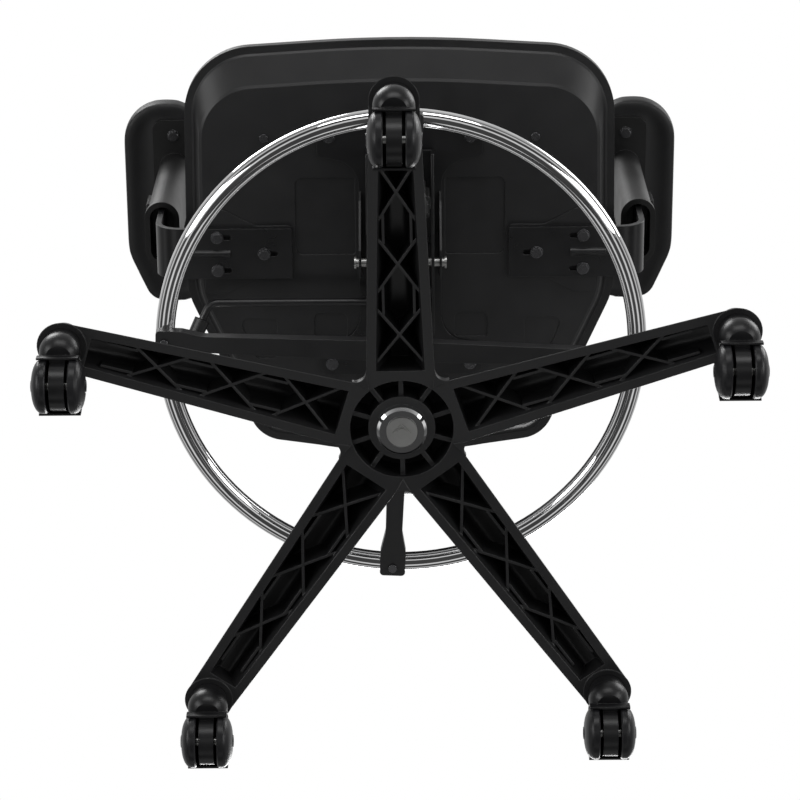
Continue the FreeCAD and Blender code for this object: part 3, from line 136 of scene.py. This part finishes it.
def make_lights():
    """Soft boxes above and behind the chair, and weaker ones below for the underside."""
    middle = (0, 0, 0.45)
    softbox("key_above", (-1.6, -1.8, 2.9), middle, 1.6, 1.6, 60)
    softbox("fill_above", (2.2, -1.0, 2.2), middle, 1.5, 1.5, 30)
    softbox("rim_behind", (0.4, 2.4, 2.3), middle, 1.8, 1.0, 40)
    softbox("low_left", (-2.2, -0.9, -0.9), middle, 0.9, 2.0, 22)
    softbox("low_right", (2.2, -0.9, -0.9), middle, 0.9, 2.0, 22)
    softbox("low_front", (0, -2.6, -0.4), middle, 2.4, 0.8, 22)


FLOOR_HALF = 6.0
FLOOR_COLOUR = (0.86, 0.86, 0.85, 1)
FLOOR_ROUGHNESS = 0.75


def make_floor():
    """A pale floor that shows from above only, so that the view from below sees the object."""
    mesh = bpy.data.meshes.new("floor")
    half = FLOOR_HALF
    corners = [(-half, -half, 0), (half, -half, 0), (half, half, 0), (-half, half, 0)]
    mesh.from_pydata(corners, [], [(0, 1, 2, 3)])
    floor = bpy.data.objects.new("floor", mesh)
    bpy.context.scene.collection.objects.link(floor)
    material = bpy.data.materials.new("floor_pale")
    material.use_nodes = True
    nodes = material.node_tree.nodes
    links = material.node_tree.links
    shader = nodes["Principled BSDF"]
    shader.inputs["Base Color"].default_value = FLOOR_COLOUR
    shader.inputs["Roughness"].default_value = FLOOR_ROUGHNESS
    side = nodes.new("ShaderNodeNewGeometry")
    clear = nodes.new("ShaderNodeBsdfTransparent")
    mix = nodes.new("ShaderNodeMixShader")
    links.new(side.outputs["Backfacing"], mix.inputs["Fac"])
    links.new(shader.outputs[0], mix.inputs[1])
    links.new(clear.outputs[0], mix.inputs[2])
    links.new(mix.outputs[0], nodes["Material Output"].inputs["Surface"])
    mesh.materials.append(material)
    floor.visible_shadow = False
    floor.visible_glossy = False
    floor.visible_diffuse = False


def set_look():
    """Plain colour, so that black stays black."""
    scene = bpy.context.scene
    scene.view_settings.view_transform = "Standard"
    scene.view_settings.look = "None"


# ---- materials
WAVE_TURN = 2 * math.pi / 10          # a wave texture of scale 1 repeats at this length
LIGHT_PATCH = 1.25                    # how a patch's lighter and darker tones stand to the colour
LIGHT_PATCH_LIFT = 0.0015
DARK_PATCH = 0.8
# edges lightened in colour: partly wear, partly a painted highlight along every edge
WORN_AND_HIGHLIT_EDGE = 1.9
WORN_AND_HIGHLIT_EDGE_LIFT = 0.01
WORN_AND_HIGHLIT_SHARE = 0.9
BEVEL_SAMPLES = 4


def threads(nodes, links, place, pitch):
    """The height of a cloth of two sets of threads that cross on the diagonal."""
    over = nodes.new("ShaderNodeVectorMath")
    over.operation = "MULTIPLY"
    over.inputs[1].default_value = (1, -1, -1)
    links.new(place, over.inputs[0])
    crossed = nodes.new("ShaderNodeMath")
    crossed.operation = "MULTIPLY"
    for slot, source in enumerate((place, over.outputs[0])):
        wave = nodes.new("ShaderNodeTexWave")
        wave.bands_direction = "DIAGONAL"
        wave.inputs["Scale"].default_value = WAVE_TURN / pitch
        wave.inputs["Distortion"].default_value = 0.4
        links.new(source, wave.inputs["Vector"])
        links.new(wave.outputs["Fac"], crossed.inputs[slot])
    return crossed.outputs[0]


GRAIN_SIZE = 0.0006


def surface(name, colour, roughness, metallic=0.0, grain=0.0, spread=0.08, patch=0.03, edge=0.0,
            specular=0.5, weave=0.0):
    """A procedural finish: uneven tone and gloss in patches, fine grain in the surface, and soft
    edges whose colour is lightened, partly as wear and partly as a painted highlight. Colour is
    linear; grain is the depth of the texture in metres; edge is the radius of the rounded edges,
    lightened as wear and painted highlight, in metres; weave is the pitch of a cloth's crossed
    threads."""
    material = bpy.data.materials.new(name)
    material.use_nodes = True
    nodes = material.node_tree.nodes
    links = material.node_tree.links
    shader = nodes["Principled BSDF"]
    shader.inputs["Metallic"].default_value = metallic
    shader.inputs["Specular IOR Level"].default_value = specular
    place = nodes.new("ShaderNodeTexCoord")
    blotch = nodes.new("ShaderNodeTexNoise")
    blotch.inputs["Scale"].default_value = 1 / patch
    blotch.inputs["Detail"].default_value = 4
    links.new(place.outputs["Object"], blotch.inputs["Vector"])
    tone = nodes.new("ShaderNodeMix")
    tone.data_type = "RGBA"
    light = [min(1, c * LIGHT_PATCH + LIGHT_PATCH_LIFT) for c in colour]
    dark = [c * DARK_PATCH for c in colour]
    tone.inputs["A"].default_value = (*dark, 1)
    tone.inputs["B"].default_value = (*light, 1)
    links.new(blotch.outputs["Fac"], tone.inputs["Factor"])
    gloss = nodes.new("ShaderNodeMapRange")
    gloss.inputs["To Min"].default_value = max(0.02, roughness - spread)
    gloss.inputs["To Max"].default_value = min(1.0, roughness + spread)
    links.new(blotch.outputs["Fac"], gloss.inputs["Value"])
    links.new(gloss.outputs["Result"], shader.inputs["Roughness"])
    colour_out = tone.outputs["Result"]
    normal_out = None
    if edge:
        bevel = nodes.new("ShaderNodeBevel")
        bevel.samples = BEVEL_SAMPLES
        bevel.inputs["Radius"].default_value = edge
        normal_out = bevel.outputs["Normal"]
        # edge mask from the bevel: where its normal parts from the true normal, the colour is
        # lightened, partly wear and partly a painted highlight
        true_side = nodes.new("ShaderNodeNewGeometry")
        apart = nodes.new("ShaderNodeVectorMath")
        apart.operation = "DISTANCE"
        links.new(bevel.outputs["Normal"], apart.inputs[0])
        links.new(true_side.outputs["Normal"], apart.inputs[1])
        worn_and_highlit = nodes.new("ShaderNodeMix")
        worn_and_highlit.data_type = "RGBA"
        share = nodes.new("ShaderNodeMath")
        share.operation = "MULTIPLY"
        share.inputs[1].default_value = WORN_AND_HIGHLIT_SHARE
        share.use_clamp = True
        links.new(apart.outputs["Value"], share.inputs[0])
        links.new(share.outputs[0], worn_and_highlit.inputs["Factor"])
        links.new(colour_out, worn_and_highlit.inputs["A"])
        pale = [min(1, c * WORN_AND_HIGHLIT_EDGE + WORN_AND_HIGHLIT_EDGE_LIFT) for c in colour]
        worn_and_highlit.inputs["B"].default_value = (*pale, 1)
        colour_out = worn_and_highlit.outputs["Result"]
    links.new(colour_out, shader.inputs["Base Color"])
    if grain:
        if weave:
            height = threads(nodes, links, place.outputs["Object"], weave)
        else:
            fine = nodes.new("ShaderNodeTexNoise")
            fine.inputs["Scale"].default_value = 1 / GRAIN_SIZE
            fine.inputs["Detail"].default_value = 2
            links.new(place.outputs["Object"], fine.inputs["Vector"])
            height = fine.outputs["Fac"]
        bump = nodes.new("ShaderNodeBump")
        bump.inputs["Distance"].default_value = grain
        links.new(height, bump.inputs["Height"])
        if normal_out:
            links.new(normal_out, bump.inputs["Normal"])
        normal_out = bump.outputs["Normal"]
    if normal_out:
        links.new(normal_out, shader.inputs["Normal"])
    return material


FINISHES = {
    "black_nylon": dict(colour=(0.009, 0.009, 0.0095), roughness=0.4, grain=0.00005, edge=0.0012),
    "caster_nylon": dict(colour=(0.007, 0.007, 0.0075), roughness=0.34, grain=0.00002, edge=0.0008,
                         specular=0.35),
    "wheel_rubber": dict(colour=(0.008, 0.008, 0.009), roughness=0.36, grain=0.00002, specular=0.32),
    "chrome": dict(colour=(0.82, 0.82, 0.83), roughness=0.05, metallic=1.0, spread=0.02, patch=0.05),
    "steel": dict(colour=(0.42, 0.42, 0.41), roughness=0.32, metallic=1.0, grain=0.00002),
    "spring_steel": dict(colour=(0.03, 0.03, 0.03), roughness=0.35, metallic=0.6),
    "black_steel": dict(colour=(0.007, 0.007, 0.0075), roughness=0.3, grain=0.00003, edge=0.0009),
    "black_screw": dict(colour=(0.13, 0.13, 0.135), roughness=0.24, metallic=0.9, edge=0.0004),
    "knob_plastic": dict(colour=(0.009, 0.009, 0.009), roughness=0.4, grain=0.00003, edge=0.0008),
    "pan_plastic": dict(colour=(0.009, 0.009, 0.0095), roughness=0.4, grain=0.00006, edge=0.0008),
    "seat_fabric": dict(colour=(0.006, 0.006, 0.007), roughness=0.75, grain=0.0005, specular=0.35,
                        weave=0.0034),
    "arm_plastic": dict(colour=(0.008, 0.008, 0.008), roughness=0.4, grain=0.00003, edge=0.0008,
                        specular=0.4),
    "pad_urethane": dict(colour=(0.009, 0.009, 0.0095), roughness=0.5, grain=0.00006, specular=0.4),
    "back_plastic": dict(colour=(0.009, 0.009, 0.009), roughness=0.4, grain=0.00004, edge=0.0008),
    "back_mesh": dict(colour=(0.006, 0.006, 0.007), roughness=0.75, grain=0.0005, specular=0.35,
                      weave=0.0034),
}


def make_materials():
    return {name: surface(name, **finish) for name, finish in FINISHES.items()}


def dress_cad_nodes(materials):
    """Gives every CAD node the finish of its slot in the record."""
    for row in frame["record"]["subparts"]:
        node = NODES[row["node"]]
        finish = materials[row["material_slot"]]
        if not node.data.materials:
            node.data.materials.append(finish)
        for slot in node.material_slots:
            slot.material = finish


# ---- mesh helpers
def new_piece(name, mesh, body, finish):
    piece = bpy.data.objects.new(name, mesh)
    bpy.context.scene.collection.objects.link(piece)
    mesh.materials.clear()
    mesh.materials.append(MATERIALS[finish])
    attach(piece, body)
    return piece


def loose_piece(name, mesh):
    piece = bpy.data.objects.new(name, mesh)
    bpy.context.scene.collection.objects.link(piece)
    return piece


def points_of(mesh):
    """The vertices' places and normals, as two arrays."""
    places = np.empty(len(mesh.vertices) * 3)
    normals = np.empty(len(mesh.vertices) * 3)
    mesh.vertices.foreach_get("co", places)
    mesh.vertex_normals.foreach_get("vector", normals)
    return places.reshape(-1, 3), normals.reshape(-1, 3)


def put_points(mesh, places):
    mesh.vertices.foreach_set("co", places.ravel())
    mesh.update()


def settled_mesh(piece):
    graph = bpy.context.evaluated_depsgraph_get()
    return bpy.data.meshes.new_from_object(piece.evaluated_get(graph))


def shade_smooth(mesh):
    mesh.polygons.foreach_set("use_smooth", [True] * len(mesh.polygons))


def modified(mesh, name, kind, **settings):
    """The mesh with one modifier made part of it."""
    draft = loose_piece(name + "_draft", mesh)
    modifier = draft.modifiers.new("change", kind)
    for key, value in settings.items():
        setattr(modifier, key, value)
    result = settled_mesh(draft)
    bpy.data.objects.remove(draft)
    result.name = name
    return result


def remeshed(name, node, voxel):
    """An even skin of small square faces over a CAD node, as a new mesh."""
    return modified(NODES[node].data.copy(), name, "REMESH", mode="VOXEL", voxel_size=voxel)


def refined(mesh, name, levels):
    return modified(mesh, name, "SUBSURF", levels=levels)


def relaxed(mesh, name, steps):
    return modified(mesh, name, "SMOOTH", factor=0.5, iterations=steps)


BEAD_STEPS = 3


def tube(name, points, radius):
    """A round bead along a closed line of points, as a mesh."""
    curve = bpy.data.curves.new(name, "CURVE")
    curve.dimensions = "3D"
    curve.bevel_depth = radius
    curve.bevel_resolution = BEAD_STEPS
    spline = curve.splines.new("POLY")
    spline.points.add(len(points) - 1)
    for spot, point in zip(spline.points, points):
        spot.co = (*point, 1)
    spline.use_cyclic_u = True
    draft = bpy.data.objects.new(name, curve)
    bpy.context.scene.collection.objects.link(draft)
    mesh = settled_mesh(draft)
    bpy.data.objects.remove(draft)
    shade_smooth(mesh)
    return mesh


# ---- seat cushion
CUSHION_VOXEL = 0.006
CUSHION_SHRINK = 0.006        # drawn in before it swells
CUSHION_HOLD = 0.012          # the skin comes free over this height above the pan's rim
CUSHION_PRESSURE = 4.0
CUSHION_CAP = 0.014           # the farthest that the swelling moves a point
CUSHION_SOFTEN = 3
CUSHION_FINER = 1
SIM_FRAMES = 20
SEAM_DEPTH = 0.0018
SEAM_WIDTH = 0.004
SEAM_ABOVE_RIM = 0.012
WELT_BELOW_TOP = 0.020
WELT_RADIUS = 0.0022
WELT_OUT = 0.35               # share of its radius that the welt stands out by
WELT_POINTS = 240
CLOTH = {"quality": 5, "mass": 0.3, "tension_stiffness": 20, "compression_stiffness": 20,
         "bending_stiffness": 0.6, "use_pressure": True,
         "uniform_pressure_force": CUSHION_PRESSURE, "vertex_group_mass": "held"}


def blown_up(mesh, name, held):
    """Swells a closed skin with cloth pressure. held(places) is 1 where the skin is fixed."""
    start = points_of(mesh)[0]
    draft = loose_piece(name + "_draft", mesh)
    group = draft.vertex_groups.new(name="held")
    for index, hold in enumerate(held(start)):
        group.add([index], float(hold), "REPLACE")
    cloth = draft.modifiers.new("swell", "CLOTH")
    settings = cloth.settings
    for key, value in CLOTH.items():
        setattr(settings, key, value)
    settings.effector_weights.gravity = 0
    scene = bpy.context.scene
    for step in range(1, SIM_FRAMES + 1):
        scene.frame_set(step)
    result = settled_mesh(draft)
    scene.frame_set(1)
    bpy.data.objects.remove(draft)
    move = points_of(result)[0] - start
    far = np.linalg.norm(move, axis=1, keepdims=True)
    put_points(result, start + move * np.minimum(1.0, CUSHION_CAP / np.maximum(far, 1e-9)))
    result.name = name
    return result


def make_cushion():
    """Foam pad in woven fabric: swollen over the pan, with a welt where top and side panels meet."""
    low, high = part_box("seat_cushion")
    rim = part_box("seat_pan")[1].z
    mesh = remeshed("cushion", "seat_cushion", CUSHION_VOXEL)

    def held(places):
        return np.clip((rim + CUSHION_HOLD - places[:, 2]) / CUSHION_HOLD, 0.0, 1.0)

    places, normals = points_of(mesh)
    put_points(mesh, places - normals * (CUSHION_SHRINK * (1 - held(places)))[:, None])
    mesh = blown_up(mesh, "cushion", held)
    mesh = relaxed(mesh, "cushion", CUSHION_SOFTEN)
    mesh = refined(mesh, "cushion", CUSHION_FINER)
    welt_z = high.z - WELT_BELOW_TOP
    groove_z = rim + SEAM_ABOVE_RIM
    places, normals = points_of(mesh)
    flat = normals * (1, 1, 0)
    for seam in (welt_z, groove_z):
        near = np.exp(-((places[:, 2] - seam) / SEAM_WIDTH) ** 2)
        places = places - flat * (near * SEAM_DEPTH)[:, None]
    put_points(mesh, places)
    shade_smooth(mesh)
    cushion = new_piece("cushion", mesh, "seat", "seat_fabric")
    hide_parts("seat_cushion")
    tree = BVHTree.FromObject(cushion, bpy.context.evaluated_depsgraph_get())
    middle = (low + high) / 2
    away = (high - low).length
    ring = []
    for k in range(WELT_POINTS):
        angle = 2 * math.pi * k / WELT_POINTS
        out = Vector((math.cos(angle), math.sin(angle), 0))
        origin = Vector((middle.x, middle.y, welt_z)) + out * away
        hit = tree.ray_cast(origin, -out)[0]
        ring.append(hit + out * WELT_RADIUS * WELT_OUT)
    new_piece("cushion_welt", tube("cushion_welt", ring, WELT_RADIUS), "seat", "seat_fabric")


# ---- arm pads
PAD_VOXEL = 0.0028
PAD_SOFTEN = 26


def make_arm_pads():
    """Moulded soft pads: the same plan as the CAD solid, with full rounded edges."""
    for side in ("left", "right"):
        node = f"arm_{side}_pad"
        mesh = remeshed(f"pad_{side}", node, PAD_VOXEL)
        mesh = relaxed(mesh, f"pad_{side}", PAD_SOFTEN)
        shade_smooth(mesh)
        pad = new_piece(f"arm_pad_{side}", mesh, f"arm_{side}", "pad_urethane")
        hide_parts(node)


# ---- back
MESH_ROWS = 90
MESH_COLUMNS = 80
MESH_CROWN = 0.004            # the cloth's middle stands ahead of the CAD sheet by this
MESH_THICK = 0.001
MESH_LIFT = 0.0004
MESH_END = 0.0015             # the first and last rows lie this far inside the sheet's ends
FLAT_END_LOW = 0.004          # where the first row moves to if it meets no sheet
FLAT_END_HIGH = 0.012
EDGE_STEPS = 16
CLEAR = 0.1                   # a ray starts this far ahead of the sheet
BESIDE = 0.01
HEM_RADIUS = 0.0028


def back_grid():
    """Rows of points over the front of the CAD sheet, from one edge to the other."""
    tree = BVHTree.FromObject(NODES["back_mesh"], bpy.context.evaluated_depsgraph_get())
    low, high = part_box("back_mesh")
    ahead = low.y - CLEAR

    def front(x, z):
        return tree.ray_cast(Vector((x, ahead, z)), Vector((0, 1, 0)))[0]

    def edge(z, side):
        inside = 0.0
        outside = side * (high.x + BESIDE)
        for _ in range(EDGE_STEPS):
            middle = (inside + outside) / 2
            if front(middle, z):
                inside = middle
            else:
                outside = middle
        return inside

    rows = []
    top = high.z - MESH_END
    bottom = low.z + MESH_END
    for r in range(MESH_ROWS + 1):
        share = r / MESH_ROWS
        z = bottom + (top - bottom) * (0.5 - 0.5 * math.cos(math.pi * share))
        if not front(0, z):
            z = min(max(z, bottom + FLAT_END_LOW), top - FLAT_END_HIGH)
        left = edge(z, -1)
        right = edge(z, 1)
        row = []
        for c in range(MESH_COLUMNS + 1):
            across = c / MESH_COLUMNS
            spot = front(left + (right - left) * across, z)
            if spot is None:
                spot = row[-1] if row else Vector((left, low.y, z))
            crown = math.sin(math.pi * across) * math.sin(math.pi * share)
            row.append(spot - Vector((0, MESH_LIFT + MESH_CROWN * crown, 0)))
        rows.append(row)
    return rows


def make_back():
    """The cloth stretched in the back frame, and the bead that holds its border."""
    rows = back_grid()
    wide = MESH_COLUMNS + 1
    points = [point for row in rows for point in row]
    faces = []
    for r in range(MESH_ROWS):
        for c in range(MESH_COLUMNS):
            first = r * wide + c
            faces.append((first, first + 1, first + wide + 1, first + wide))
    mesh = bpy.data.meshes.new("back_cloth")
    mesh.from_pydata(points, [], faces)
    mesh.update()
    shade_smooth(mesh)
    cloth = new_piece("back_cloth", mesh, "backrest", "back_mesh")
    thick = cloth.modifiers.new("thick", "SOLIDIFY")
    thick.thickness = MESH_THICK
    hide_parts("back_mesh")
    border = rows[0][:-1] + [row[-1] for row in rows[:-1]]
    border += rows[-1][:0:-1] + [row[0] for row in rows[:0:-1]]
    new_piece("back_hem", tube("back_hem", border, HEM_RADIUS), "backrest", "back_plastic")


set_look()
make_camera()
make_world()
make_lights()
make_floor()
MATERIALS = make_materials()
dress_cad_nodes(MATERIALS)
make_cushion()
make_arm_pads()
make_back()
